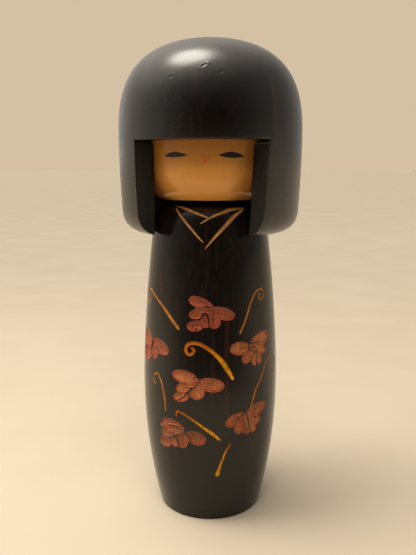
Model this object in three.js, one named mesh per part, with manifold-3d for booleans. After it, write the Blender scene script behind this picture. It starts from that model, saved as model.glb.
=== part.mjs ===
// Kokeshi doll with bobbed hair, in lathe-turned wood.
// A belly-shaped body carries a hardwood dowel; the head turns on that dowel.
// The head is a pale face block glued into a dark hollow hair cap, whose front is sawn open.
// Millimetres, +Z up. The foot stands on z = 0 with the axis at x = y = 0, and the face looks along -Y.

import * as THREE from 'three';
import { mergeVertices } from 'three/addons/utils/BufferGeometryUtils.js';
import Module from 'manifold-3d';

// Driving dimensions
const overallHeight = 200;
const gluedGap = 0.3;         // all round a piece that sits in or on another
const turnedFacets = 64;      // facets round the large turnings
const dowelFacets = 32;       // facets round the dowel and its bores

// Body: side, shoulder dome and the flat seat that the head rests on
const footRadius = 22.4;
const footChamfer = 0.6;
const bellyRadius = 29.35;
const bellyHeight = 57;
const footCurve = 2.1;        // exponent of the side's curve below the belly
const flankCurve = 1.68;      // exponent of the side's curve above the belly
const shoulderRadius = 25.15;
const shoulderHeight = 118;
const domeCurve = 7;          // exponent of the shoulder dome, 2 being an ellipse
const domeApexHeight = 137;
const seatHeight = 135.6;

// Dowel
const dowelRadius = 5;
const dowelChamfer = 0.8;
const dowelDepthInBody = 20;
const dowelDepthInHead = 16;
const dowelEndRoom = 0.6;     // left at each end of the dowel

// Face block
const faceRadius = 29;
const faceTopHeight = 171.6;
const chinArcRadius = 15;     // of the arc that draws the face in to its chin
const chinRadius = 20.8;      // of the flat under the chin
const crownChamfer = 0.8;

// Hair cap
const hairRadius = 38.2;
const hairWidestHeight = 160;
const domeSideHandle = 14.5;  // reach of the dome's curve above its widest line
const domeTopHandle = 38;     // reach of the dome's curve sideways at its top
const hairRimHeight = 122.2;
const hairRimRadius = 29.7;   // where the rounded rim meets the bore
const hairCornerRadius = 37.35;
const hairCornerHeight = 133; // top of the rim's tight curve, where the long side starts
const hairRimHandle = [36.3, 124.2];
const hairCornerHandle = [37.2, 128];
const hairSideHandles = [[37.8, 142], [hairRadius, 151]];
const fringeHeight = 159.2;
const windowHalfAngle = 42.3; // degrees each side of the front
const leftCutLean = 3.2;      // degrees that the doll's left-hand saw cut leans in towards its foot

const boreRadius = faceRadius + gluedGap;
const chinHeight = seatHeight + gluedGap;
const capCeilingHeight = faceTopHeight + gluedGap;
const dowelBoreRadius = dowelRadius + gluedGap;

const wasm = await Module();
wasm.setup();

const paints = {
  lacquer: new THREE.MeshStandardMaterial({ color: 0x17110f, roughness: 0.22, metalness: 0 }),
  hair: new THREE.MeshStandardMaterial({ color: 0x14100f, roughness: 0.34, metalness: 0 }),
  face: new THREE.MeshStandardMaterial({ color: 0xd9a868, roughness: 0.42, metalness: 0 }),
  dowel: new THREE.MeshStandardMaterial({ color: 0xc39a66, roughness: 0.6, metalness: 0 }),
};

// Body of revolution about +Z from [radius, height] points
function turned(points, facets) {
  const outline = points.map(([radius, height]) => new THREE.Vector2(radius, height));
  const geometry = new THREE.LatheGeometry(outline, facets);
  geometry.rotateX(Math.PI / 2);
  return geometry;
}

// The same geometry with shared vertices merged, which drops the zero-area facets on the axis
function welded(geometry) {
  const plain = geometry.index ? geometry.clone() : mergeVertices(geometry);
  plain.deleteAttribute('normal');
  plain.deleteAttribute('uv');
  return mergeVertices(plain, 1e-4);
}

function solidFrom(geometry) {
  const mesh = welded(geometry);
  const vertProperties = new Float32Array(mesh.attributes.position.array);
  const triVerts = new Uint32Array(mesh.index.array);
  return new wasm.Manifold(new wasm.Mesh({ numProp: 3, vertProperties, triVerts }));
}

function geometryFrom(solid) {
  const mesh = solid.getMesh();
  const geometry = new THREE.BufferGeometry();
  geometry.setAttribute('position', new THREE.BufferAttribute(mesh.vertProperties, 3));
  geometry.setIndex(new THREE.BufferAttribute(mesh.triVerts, 1));
  geometry.computeVertexNormals();
  return geometry;
}

function piece(name, geometry, material) {
  const mesh = new THREE.Mesh(geometry, material);
  mesh.name = name;
  return mesh;
}

// Radius of the body's side, which swells from the foot to the belly and draws in to the shoulder
function sideRadius(height) {
  if (height < bellyHeight) {
    const drop = (bellyHeight - height) / bellyHeight;
    return bellyRadius - (bellyRadius - footRadius) * drop ** footCurve;
  }
  const rise = (height - bellyHeight) / (shoulderHeight - bellyHeight);
  return bellyRadius - (bellyRadius - shoulderRadius) * rise ** flankCurve;
}

// Radius of the shoulder dome, which leaves the side without a crease
function domeRadius(height) {
  const rise = (height - shoulderHeight) / (domeApexHeight - shoulderHeight);
  return sideRadius(height) * Math.sqrt(1 - rise ** domeCurve);
}

function makeBody() {
  const sideSteps = 14;
  const domeSteps = 12;
  const boreFloor = seatHeight - dowelDepthInBody - dowelEndRoom;
  const points = [[0, 0], [footRadius - footChamfer, 0]];
  for (let step = 0; step <= sideSteps; step += 1) {
    const height = THREE.MathUtils.lerp(footChamfer, shoulderHeight, step / sideSteps);
    points.push([sideRadius(height), height]);
  }
  for (let step = 1; step <= domeSteps; step += 1) {
    const turn = (step / domeSteps) * (Math.PI / 2);
    const height = THREE.MathUtils.lerp(shoulderHeight, seatHeight, Math.sin(turn));
    points.push([domeRadius(height), height]);
  }
  points.push([dowelBoreRadius, seatHeight], [dowelBoreRadius, boreFloor], [0, boreFloor]);
  return piece('body', turned(points, turnedFacets), paints.lacquer);
}

function makeDowel() {
  const low = seatHeight - dowelDepthInBody;
  const high = chinHeight + dowelDepthInHead;
  const points = [
    [0, low],
    [dowelRadius - dowelChamfer, low],
    [dowelRadius, low + dowelChamfer],
    [dowelRadius, high - dowelChamfer],
    [dowelRadius - dowelChamfer, high],
    [0, high],
  ];
  return piece('neck_dowel', turned(points, dowelFacets), paints.dowel);
}

function makeFaceBlock() {
  const arcSteps = 7;
  const boreCeiling = chinHeight + dowelDepthInHead + dowelEndRoom;
  const points = [[0, boreCeiling], [dowelBoreRadius, boreCeiling], [dowelBoreRadius, chinHeight]];
  const arcAngle = Math.acos(1 - (faceRadius - chinRadius) / chinArcRadius);
  const arcTopHeight = chinHeight + chinArcRadius * Math.sin(arcAngle);
  for (let step = arcSteps; step >= 0; step -= 1) {
    const turn = (step / arcSteps) * arcAngle;
    const radius = faceRadius - chinArcRadius * (1 - Math.cos(turn));
    points.push([radius, arcTopHeight - chinArcRadius * Math.sin(turn)]);
  }
  points.push([faceRadius, faceTopHeight - crownChamfer]);
  points.push([faceRadius - crownChamfer, faceTopHeight], [0, faceTopHeight]);
  return piece('face_block', turned(points, turnedFacets), paints.face);
}

// Outer curve of the hair cap, from the rim up and over to the axis
function hairOutline() {
  const cornerSteps = 8;
  const sideSteps = 3;
  const domeSteps = 13;
  const corner = new THREE.CubicBezierCurve(
    new THREE.Vector2(hairRimRadius, hairRimHeight),
    new THREE.Vector2(...hairRimHandle),
    new THREE.Vector2(...hairCornerHandle),
    new THREE.Vector2(hairCornerRadius, hairCornerHeight),
  );
  const side = new THREE.CubicBezierCurve(
    new THREE.Vector2(hairCornerRadius, hairCornerHeight),
    ...hairSideHandles.map((handle) => new THREE.Vector2(...handle)),
    new THREE.Vector2(hairRadius, hairWidestHeight),
  );
  const dome = new THREE.CubicBezierCurve(
    new THREE.Vector2(hairRadius, hairWidestHeight),
    new THREE.Vector2(hairRadius, hairWidestHeight + domeSideHandle),
    new THREE.Vector2(domeTopHandle, overallHeight),
    new THREE.Vector2(0, overallHeight),
  );
  return [
    ...corner.getPoints(cornerSteps),
    ...side.getPoints(sideSteps).slice(1),
    ...dome.getPoints(domeSteps).slice(1),
  ];
}

// Space below the fringe, between the two saw cuts beside the face. Each cut passes through the axis
// at the fringe. side is -1 for the doll's right hand and 1 for its left.
function windowWedge() {
  const reach = hairRadius * 2;
  const belowRim = hairRimHeight - gluedGap;
  const slab = wasm.Manifold.cube([2 * reach, reach, fringeHeight - belowRim]);
  const keptSide = (solid, side, lean) => {
    const angle = THREE.MathUtils.degToRad(windowHalfAngle);
    const slope = Math.tan(THREE.MathUtils.degToRad(lean));
    const inward = [-side * Math.cos(angle), -Math.sin(angle), slope];
    return solid.trimByPlane(inward, (slope * fringeHeight) / Math.hypot(1, slope));
  };
  return keptSide(keptSide(slab.translate([-reach, -reach, belowRim]), -1, 0), 1, leftCutLean);
}

function makeHairCap() {
  const points = [
    [0, capCeilingHeight],
    [boreRadius, capCeilingHeight],
    [boreRadius, hairRimHeight],
    ...hairOutline().map((point) => [point.x, point.y]),
  ];
  const shell = solidFrom(turned(points, turnedFacets));
  const cap = shell.subtract(windowWedge());
  return piece('hair_cap', geometryFrom(cap), paints.hair);
}

const head = new THREE.Group();
head.add(makeFaceBlock(), makeHairCap());

const doll = new THREE.Group();
doll.add(makeBody(), makeDowel(), head);

export default doll;
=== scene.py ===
# Kokeshi doll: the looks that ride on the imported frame.
# The body and the face are turned skins, unrolled flat, cut along the outline of every carved or painted
# mark, and rolled up again, so that each petal, tendril and eye is its own crisp patch of one closed mesh.
# The hair cap is a grid of cells with the window, the two saw cuts and the cut under the fringe left out.
# Lengths are in millimetres up to the point where a mesh is made, and azimuths are in degrees from the
# front (-Y) towards the doll's left-hand side (+X).

import math

import bpy
import numpy as np
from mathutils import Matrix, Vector
from mathutils.geometry import delaunay_2d_cdt


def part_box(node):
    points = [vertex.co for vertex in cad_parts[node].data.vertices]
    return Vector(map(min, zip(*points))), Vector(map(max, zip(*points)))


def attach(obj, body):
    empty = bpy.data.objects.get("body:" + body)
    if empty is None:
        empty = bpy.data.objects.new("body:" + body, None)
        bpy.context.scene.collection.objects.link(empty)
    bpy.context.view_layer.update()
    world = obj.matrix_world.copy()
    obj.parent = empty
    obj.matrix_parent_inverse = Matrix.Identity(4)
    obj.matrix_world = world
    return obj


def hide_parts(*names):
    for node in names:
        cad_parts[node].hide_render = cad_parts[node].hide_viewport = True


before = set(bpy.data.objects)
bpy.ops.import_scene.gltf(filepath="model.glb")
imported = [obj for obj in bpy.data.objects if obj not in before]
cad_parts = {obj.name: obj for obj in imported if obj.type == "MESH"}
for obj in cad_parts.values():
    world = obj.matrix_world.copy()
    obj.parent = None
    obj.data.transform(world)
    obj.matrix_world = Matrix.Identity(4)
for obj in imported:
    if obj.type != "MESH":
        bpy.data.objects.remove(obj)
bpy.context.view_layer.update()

MM = 0.001
random = np.random.default_rng(11)

body_high = np.array(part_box("body")[1]) / MM
face_low, face_high = (np.array(corner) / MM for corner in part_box("face_block"))
hair_low, hair_high = (np.array(corner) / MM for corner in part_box("hair_cap"))
dowel_low, dowel_high = (np.array(corner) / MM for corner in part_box("neck_dowel"))

# Body
FOOT_RADIUS = 22.4
FOOT_EDGE = 0.6
BELLY_RADIUS = 29.35
BELLY_HEIGHT = 57.0
FOOT_CURVE = 2.1
FLANK_CURVE = 1.68
SHOULDER_RADIUS = 25.15
SHOULDER_HEIGHT = 118.0
DOME_CURVE = 7.0
DOME_APEX_HEIGHT = 137.0
SEAT_HEIGHT = body_high[2]
BORE_RADIUS = 5.3
DOWEL_END_ROOM = 0.6
BORE_FLOOR = dowel_low[2] - DOWEL_END_ROOM

# Face block
FACE_RADIUS = face_high[0]
CHIN_HEIGHT = face_low[2]
FACE_TOP = face_high[2]
CHIN_ARC = 15.0         # radius of the arc that draws the face in to its chin
CHIN_RADIUS = 20.8
CROWN_CHAMFER = 0.8
FACE_BORE_CEILING = dowel_high[2] + DOWEL_END_ROOM

# Hair cap
HAIR_RADIUS = hair_high[0]
HAIR_TOP = hair_high[2]
HAIR_RIM = hair_low[2]
HAIR_RIM_RADIUS = 29.7
HAIR_CORNER = (37.35, 133.0)
HAIR_WIDEST = 160.0
GLUED_GAP = 0.3
CAP_BORE = FACE_RADIUS + GLUED_GAP
CAP_CEILING = FACE_TOP + GLUED_GAP
FRINGE_HEIGHT = 159.2
WINDOW_HALF_ANGLE = 42.3
LEFT_CUT_LEAN = 3.2     # degrees that the doll's left-hand saw cut leans in towards its foot
KERF = 1.15             # height of the saw cut that runs on past the window under the fringe
KERF_REACH = 0.3        # degrees that it runs on at the hair's outer surface
KERF_DEPTH = 9.0        # times as far that it runs on deep inside
CUT_EDGE = 0.22         # radius of the sanded edges round the window
CHEEK_BACK = 64.0       # degrees, behind which the columns no longer make room for that saw cut

UNROLL = 28.0           # radius that the skins are unrolled at
SKIN_COLUMNS = 144
MARK_SPACING = 0.28     # between the points inside a mark


# ---------------------------------------------------------------- turned outlines

class Outline:
    """The side of a turned piece from its low end up, measured along its own length."""

    def __init__(self, points):
        self.points = np.array(points, float)
        steps = np.hypot(*np.diff(self.points, axis=0).T)
        self.lengths = np.concatenate([[0.0], np.cumsum(steps)])
        self.length = self.lengths[-1]

    def radius(self, up):
        return np.interp(up, self.lengths, self.points[:, 0])

    def height(self, up):
        return np.interp(up, self.lengths, self.points[:, 1])

    def at_height(self, height):
        return np.interp(height, self.points[:, 1], self.lengths)

    def normal(self, up):
        """(outward, upward) parts of the surface normal."""
        reach = 0.4
        low = np.clip(up - reach, 0, self.length)
        high = np.clip(up + reach, 0, self.length)
        out = self.height(high) - self.height(low)
        rise = self.radius(low) - self.radius(high)
        size = np.hypot(out, rise)
        return out / size, rise / size


def body_side_radius(height):
    if height < BELLY_HEIGHT:
        drop = (BELLY_HEIGHT - height) / BELLY_HEIGHT
        return BELLY_RADIUS - (BELLY_RADIUS - FOOT_RADIUS) * drop ** FOOT_CURVE
    rise = (height - BELLY_HEIGHT) / (SHOULDER_HEIGHT - BELLY_HEIGHT)
    return BELLY_RADIUS - (BELLY_RADIUS - SHOULDER_RADIUS) * rise ** FLANK_CURVE


def body_dome_radius(height):
    rise = (height - SHOULDER_HEIGHT) / (DOME_APEX_HEIGHT - SHOULDER_HEIGHT)
    return body_side_radius(height) * math.sqrt(1 - rise ** DOME_CURVE)


def body_outline():
    side = np.linspace(FOOT_EDGE, SHOULDER_HEIGHT, 160)
    dome = SHOULDER_HEIGHT + (SEAT_HEIGHT - SHOULDER_HEIGHT) * np.sin(np.linspace(0, math.pi / 2, 60))
    points = [(body_side_radius(height), height) for height in side]
    points += [(body_dome_radius(height), height) for height in dome[1:]]
    return Outline(points)


def face_outline():
    arc_angle = math.acos(1 - (FACE_RADIUS - CHIN_RADIUS) / CHIN_ARC)
    arc_top = CHIN_HEIGHT + CHIN_ARC * math.sin(arc_angle)
    points = [(CHIN_RADIUS, CHIN_HEIGHT)]
    points += [(FACE_RADIUS - CHIN_ARC * (1 - math.cos(turn)), arc_top - CHIN_ARC * math.sin(turn))
               for turn in np.linspace(arc_angle, 0, 40)[1:]]
    side = np.linspace(arc_top, FACE_TOP - CROWN_CHAMFER, 40)
    return Outline(points + [(FACE_RADIUS, height) for height in side[1:]])


# ---------------------------------------------------------------- marks on a turned skin

TINT_SPREAD = 0.12      # how much single petals differ from their flower's warmth
PATH_STEP = 0.25        # between the points along a stroke
LANE_LENGTH = 3.0       # of a stroke that "along" counts as one
RIDGE_SLOPE = 0.25      # width that a ridge's side takes to fall to the full depth of a cut
RIDGE_TOP = 0.01        # how far outside its edge a ridge is still at full height
MARK_CLEARANCE = 0.45   # round a mark, kept free of the lattice


def smooth_path(points, step):
    """The points joined by a smooth curve, with one point every step."""
    points = np.array(points, float)
    padded = np.vstack([2 * points[0] - points[1], points, 2 * points[-1] - points[-2]])
    path = []
    for before, start, end, after in zip(padded, padded[1:], padded[2:], padded[3:]):
        parts = max(2, math.ceil(np.linalg.norm((end - start)[:2]) / step))
        for t in np.arange(parts) / parts:
            bend = 2 * before - 5 * start + 4 * end - after
            twist = 3 * start - before - 3 * end + after
            path.append(start + 0.5 * t * ((end - before) + t * (bend + t * twist)))
    path.append(points[-1])
    return np.array(path)


class Petal:
    """One gouge cut of a flower: an oval that narrows towards its tip."""

    def __init__(self, outline, kind, flower, warmth, cut, depth):
        across, up, self.half_length, self.half_width, tip, taper = cut
        azimuth, height = flower
        self.kind = kind
        self.depth = depth * self.half_width
        self.stretch = outline.radius(outline.at_height(height)) / UNROLL
        self.centre = np.array([math.radians(azimuth) * UNROLL + across / self.stretch,
                                outline.at_height(height) + up])
        self.turn = math.radians(tip)
        self.taper = taper
        self.fullest = math.sqrt(self.width_squared(-taper / (taper + 2)))
        self.tint = min(max(warmth + random.normal(0, TINT_SPREAD), 0), 1)

    def width_squared(self, place):
        """Square of the width at a place from -1, the round end, to 1, the tip."""
        return (1 - place ** 2) * ((1 - place) / 2) ** self.taper

    def local(self, points):
        offset = (points - self.centre) * (self.stretch, 1)
        along = offset[:, 0] * math.cos(self.turn) + offset[:, 1] * math.sin(self.turn)
        aside = offset[:, 1] * math.cos(self.turn) - offset[:, 0] * math.sin(self.turn)
        return along / self.half_length, aside / self.half_width

    def share(self, points):
        """Depth of the cut as a share of its fullest: 0 on the rim, negative outside."""
        along, aside = self.local(points)
        inside = self.width_squared(np.clip(along, -1, 1)) / self.fullest ** 2
        return np.where(np.abs(along) < 1, inside - aside ** 2, -1)

    def gap(self, points):
        """How far outside the rim a point is."""
        along, aside = self.local(points)
        reach = np.sqrt(self.width_squared(np.clip(along, -1, 1))) / self.fullest
        beside = np.maximum(np.abs(aside) - reach, 0) * self.half_width
        beyond = np.maximum(np.abs(along) - 1, 0) * self.half_length
        return np.hypot(beside, beyond)

    def edge(self, step):
        count = math.ceil(2.6 * (self.half_length + self.half_width) / step)
        turns = np.arange(count) * 2 * math.pi / count
        place = np.cos(turns)
        along = place * self.half_length
        width = np.sqrt(self.width_squared(np.clip(place, -1, 1))) / self.fullest
        aside = np.sign(np.sin(turns)) * width * self.half_width
        x = along * math.cos(self.turn) - aside * math.sin(self.turn)
        y = along * math.sin(self.turn) + aside * math.cos(self.turn)
        return self.centre + np.column_stack([x / self.stretch, y])


class Stroke:
    """One sweep of a narrow gouge or a brush, through points of (azimuth, height, width)."""

    def __init__(self, outline, kind, points, depth):
        unrolled = [(math.radians(azimuth) * UNROLL, outline.at_height(height), width)
                    for azimuth, height, width in points]
        path = smooth_path(unrolled, PATH_STEP)
        self.kind = kind
        self.middle = path[:, :2]
        self.widths = path[:, 2]
        self.depth = depth * self.widths.max()
        self.stretch = outline.radius(self.middle[:, 1]) / UNROLL
        self.tint = random.random()

    def nearest(self, points):
        """(distance, width there, number along the path) for the part of the stroke nearest each point."""
        offset = points[:, None, :] - self.middle[None, :, :]
        distance = np.hypot(offset[:, :, 0] * self.stretch, offset[:, :, 1])
        best = np.argmin(distance - self.widths / 2, axis=1)
        rows = np.arange(len(points))
        return distance[rows, best], self.widths[best], best

    def local(self, points):
        distance, width, number = self.nearest(points)
        return number * PATH_STEP / LANE_LENGTH, distance / width * 2

    def share(self, points):
        distance, width, _ = self.nearest(points)
        return (1 - (2 * distance / width) ** 2) * width / self.widths.max()

    def gap(self, points):
        distance, width, _ = self.nearest(points)
        return np.maximum(distance - width / 2, 0)

    def edge(self, step):
        scale = np.column_stack([self.stretch, np.ones(len(self.stretch))])
        way = np.gradient(self.middle, axis=0) * scale
        way /= np.linalg.norm(way, axis=1)[:, None]
        aside = np.column_stack([-way[:, 1] / self.stretch, way[:, 0]]) * self.widths[:, None] / 2
        ahead = np.column_stack([way[:, 0] / self.stretch, way[:, 1]]) * self.widths[:, None] / 2
        left, right = self.middle + aside, self.middle - aside
        start, end = self.middle[0] - ahead[0], self.middle[-1] + ahead[-1]
        return np.vstack([[start], right, [end], left[::-1]])


def near(mark, points, margin):
    """Which points may lie within the margin of a mark, by its box."""
    edge = mark.edge(1.0)
    low, high = edge.min(axis=0) - margin * 2, edge.max(axis=0) + margin * 2
    return np.flatnonzero(np.all((points > low) & (points < high), axis=1))


def cut_depths(marks, points):
    """Depth at each point, the mark that makes it (-1 for none) and how full that mark's cut is."""
    depths = np.zeros(len(points))
    owners = np.full(len(points), -1)
    shares = np.zeros(len(points))
    for number, mark in enumerate(marks):
        if mark.kind == "ridge":
            continue
        rows = near(mark, points, 0.1)
        if not len(rows):
            continue
        share = mark.share(points[rows])
        deeper = (share > 0) & (share * mark.depth >= depths[rows])
        rows, share = rows[deeper], share[deeper]
        depths[rows] = share * mark.depth
        owners[rows] = number
        shares[rows] = share
    for mark in marks:
        if mark.kind != "ridge":
            continue
        rows = near(mark, points, 0.3)
        if not len(rows):
            continue
        gap = mark.gap(points[rows])
        depths[rows] *= np.clip((gap - RIDGE_TOP) / RIDGE_SLOPE, 0, 1)
        owners[rows[gap < RIDGE_TOP]] = -1
    return depths, owners, shares


# ---------------------------------------------------------------- turned skins as meshes

class Builder:
    """Collects a mesh: its points, its faces, and the patch that each face belongs to."""

    def __init__(self):
        self.points = []
        self.faces = []
        self.patches = []

    def add_points(self, points):
        first = len(self.points)
        self.points.extend(tuple(point) for point in points)
        return list(range(first, len(self.points)))

    def add_face(self, face, patch):
        self.faces.append(tuple(face))
        self.patches.append(patch)


def round_axis(azimuth, radius, height):
    """Point or points at an azimuth in radians."""
    return np.column_stack([radius * np.sin(azimuth), -radius * np.cos(azimuth), height])


def ring_strip(builder, lower, upper, patch):
    """Faces between two rings of the same count, or a ring and a single point, facing outward."""
    count = max(len(lower), len(upper))
    for here in range(count):
        after = (here + 1) % count
        if len(lower) == 1:
            builder.add_face((lower[0], upper[after], upper[here]), patch)
        elif len(upper) == 1:
            builder.add_face((lower[here], lower[after], upper[0]), patch)
        else:
            builder.add_face((lower[here], lower[after], upper[after], upper[here]), patch)


def unrolled_points(outline, rows, marks):
    """Points to triangulate: a lattice, closer points inside the marks, and the marks' outlines."""
    width = 2 * math.pi * UNROLL
    across = np.linspace(-width / 2, width / 2, SKIN_COLUMNS + 1)
    up = np.linspace(0, outline.length, rows + 1)
    lattice = np.array([(x, y) for y in up for x in across])
    inner = (np.abs(lattice[:, 0]) < width / 2 - 0.01) & (lattice[:, 1] > 0.01)
    inner &= lattice[:, 1] < outline.length - 0.01
    blocked = np.zeros(len(lattice), bool)
    for mark in marks:
        rows_near = near(mark, lattice, 0.6)
        if len(rows_near):
            blocked[rows_near] |= mark.gap(lattice[rows_near]) < MARK_CLEARANCE
    parts = [lattice[~(blocked & inner)]]

    packed = MARK_SPACING * math.sqrt(3) / 2
    for number, mark in enumerate(marks):
        if mark.kind == "ridge" or mark.depth == 0:
            continue
        low, high = mark.edge(1.0).min(axis=0), mark.edge(1.0).max(axis=0)
        first = np.floor(low / (MARK_SPACING, packed)).astype(int)
        last = np.ceil(high / (MARK_SPACING, packed)).astype(int)
        hexes = np.array([((i + 0.5 * (j % 2)) * MARK_SPACING, j * packed)
                          for j in range(first[1], last[1] + 1) for i in range(first[0], last[0] + 1)])
        _, owners, shares = cut_depths(marks, hexes)
        parts.append(hexes[(owners == number) & (shares > 0.1)])

    edges = []
    count = sum(len(part) for part in parts)
    for mark in marks:
        edge = mark.edge(MARK_SPACING * 1.1)
        edges += [(count + i, count + (i + 1) % len(edge)) for i in range(len(edge))]
        count += len(edge)
        parts.append(edge)
    return np.vstack(parts), edges


def turned_skin(name, outline, row_step, marks, below, above, kinds):
    """A closed turned piece. below and above are its rings past the outline, down and up to the axis.

    kinds gives the material of each patch: "plain", "below", "above" and each kind of mark."""
    rows = round(outline.length / row_step)
    flat, edges = unrolled_points(outline, rows, marks)
    flat[:, 1] = np.clip(flat[:, 1], 0, outline.length)
    solved = delaunay_2d_cdt([Vector(point) for point in flat], edges, [], 0, 1e-4, False)
    flat = np.array([tuple(point) for point in solved[0]])
    triangles = np.array([tuple(face) for face in solved[2]])

    first, second, third = (flat[triangles[:, i]] for i in range(3))
    (ax, ay), (bx, by) = (second - first).T, (third - first).T
    area = ax * by - ay * bx
    triangles[area < 0] = triangles[area < 0][:, ::-1]
    triangles = triangles[np.abs(area) > 1e-7]

    depths, _, _ = cut_depths(marks, flat)
    middles = flat[triangles].mean(axis=1)
    _, owners, _ = cut_depths(marks, middles)

    width = 2 * math.pi * UNROLL
    place = {}
    for number, (x, y) in enumerate(flat):
        if abs(x + width / 2) < 1e-3:
            place["seam", round(y, 2)] = number
    weld = np.arange(len(flat))
    for number, (x, y) in enumerate(flat):
        if abs(x - width / 2) < 1e-3:
            weld[number] = place["seam", round(y, 2)]
    triangles = weld[triangles]

    azimuth = flat[:, 0] / UNROLL
    out, rise = outline.normal(flat[:, 1])
    points = round_axis(azimuth, outline.radius(flat[:, 1]) - depths * out,
                        outline.height(flat[:, 1]) - depths * rise)
    normals = round_axis(azimuth, out, rise)

    builder = Builder()
    builder.add_points(points)
    for triangle, owner in zip(triangles, owners):
        builder.add_face(triangle, "plain" if owner < 0 else marks[owner].kind)

    def border(level):
        ring = []
        for column in range(SKIN_COLUMNS):
            x = -width / 2 + width * column / SKIN_COLUMNS
            gaps = np.abs(flat[:, 0] - x) + np.abs(flat[:, 1] - level)
            ring.append(int(np.argmin(gaps)))
        return ring

    turns = -math.pi + np.arange(SKIN_COLUMNS) * 2 * math.pi / SKIN_COLUMNS
    for level, rings, patch in ((0, below, "below"), (outline.length, above, "above")):
        last = border(level)
        for radius, height in rings:
            if radius == 0:
                ring = builder.add_points([(0, 0, height)])
            else:
                ring = builder.add_points(round_axis(turns, radius, np.full(SKIN_COLUMNS, height)))
            if patch == "below":
                ring_strip(builder, ring, last, patch)
            else:
                ring_strip(builder, last, ring, patch)
            last = ring

    piece = mesh_piece(name, builder, kinds)
    mark_corners(piece.data, marks, flat, triangles, owners)
    shade_skin(piece.data, builder, normals)
    return piece


def mesh_piece(name, builder, kinds):
    """A Blender object from a builder, without the points that no face uses."""
    used = sorted({index for face in builder.faces for index in face})
    renumbered = {old: new for new, old in enumerate(used)}
    points = [Vector(builder.points[old]) * MM for old in used]
    faces = [[renumbered[index] for index in face] for face in builder.faces]
    mesh = bpy.data.meshes.new(name)
    mesh.from_pydata(points, [], faces)
    materials = list(dict.fromkeys(kinds.values()))
    for material in materials:
        mesh.materials.append(material)
    slots = [materials.index(kinds[patch]) for patch in builder.patches]
    mesh.polygons.foreach_set("material_index", slots)
    mesh.polygons.foreach_set("use_smooth", [True] * len(faces))
    mesh.update()
    piece = bpy.data.objects.new(name, mesh)
    bpy.context.scene.collection.objects.link(piece)
    return piece


def mark_corners(mesh, marks, flat, triangles, owners):
    """Where each face corner lies in its own petal or stroke, for the materials to read."""
    along, aside, hollow, tint = (np.zeros(len(mesh.loops)) for _ in range(4))
    for number, mark in enumerate(marks):
        faces = np.flatnonzero(owners == number)
        if not len(faces):
            continue
        corners = (faces[:, None] * 3 + np.arange(3)).ravel()
        points = flat[triangles[faces].ravel()]
        along[corners], aside[corners] = mark.local(points)
        hollow[corners] = np.clip(mark.share(points), 0, 1)
        tint[corners] = mark.tint
    for name, values in (("along", along), ("aside", aside), ("hollow", hollow), ("tint", tint)):
        layer = mesh.attributes.new(name, "FLOAT", "CORNER")
        layer.data.foreach_set("value", values.astype(np.float32))


def shade_skin(mesh, builder, normals):
    """Sharp edges where patches meet or turn, and the turning's own normals on its plain surface."""
    patch = builder.patches
    face_normals = np.array([face.normal for face in mesh.polygons])
    neighbours = {}
    for number, face in enumerate(mesh.polygons):
        for key in face.edge_keys:
            neighbours.setdefault(key, []).append(number)
    turn_limit = math.cos(math.radians(35))
    sharp = []
    for edge in mesh.edges:
        one, other = neighbours[tuple(sorted(edge.vertices))]
        carved = (patch[one] == "plain") != (patch[other] == "plain")
        carved &= "below" not in (patch[one], patch[other]) and "above" not in (patch[one], patch[other])
        sharp.append(bool(carved or face_normals[one] @ face_normals[other] < turn_limit))
    mesh.attributes.new("sharp_edge", "BOOLEAN", "EDGE").data.foreach_set("value", sharp)
    corner_normals = []
    for face, kind in zip(builder.faces, patch):
        for index in face:
            corner_normals.append(normals[index] if kind == "plain" else (0, 0, 0))
    mesh.normals_split_custom_set(corner_normals)


# ---------------------------------------------------------------- materials

class Nodes:
    """Short calls for the nodes of a material or of the world."""

    def __init__(self, tree):
        self.tree = tree

    def add(self, kind, **settings):
        node = self.tree.nodes.new(kind)
        for key, value in settings.items():
            setattr(node, key, value)
        return node

    def feed(self, socket, value):
        if isinstance(value, bpy.types.NodeSocket):
            self.tree.links.new(value, socket)
        else:
            socket.default_value = value

    def split(self, vector):
        node = self.add("ShaderNodeSeparateXYZ")
        self.feed(node.inputs[0], vector)
        return node.outputs

    def math(self, operation, first, second=0.0, third=0.0):
        node = self.add("ShaderNodeMath", operation=operation)
        for socket, value in zip(node.inputs, (first, second, third)):
            self.feed(socket, value)
        return node.outputs[0]

    def range(self, value, low, high, to_low=0.0, to_high=1.0):
        node = self.add("ShaderNodeMapRange", interpolation_type="SMOOTHSTEP")
        for socket, number in zip(node.inputs, (value, low, high, to_low, to_high)):
            self.feed(socket, number)
        return node.outputs["Result"]

    def mix(self, share, first, second, blend="MIX"):
        node = self.add("ShaderNodeMix", data_type="RGBA", blend_type=blend)
        for socket, value in zip((node.inputs[0], node.inputs[6], node.inputs[7]), (share, first, second)):
            self.feed(socket, value)
        return node.outputs[2]

    def from_axis(self, x, y):
        """Distance from the doll's axis."""
        return self.math("SQRT", self.math("MULTIPLY_ADD", x, x, self.math("MULTIPLY", y, y)))


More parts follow.
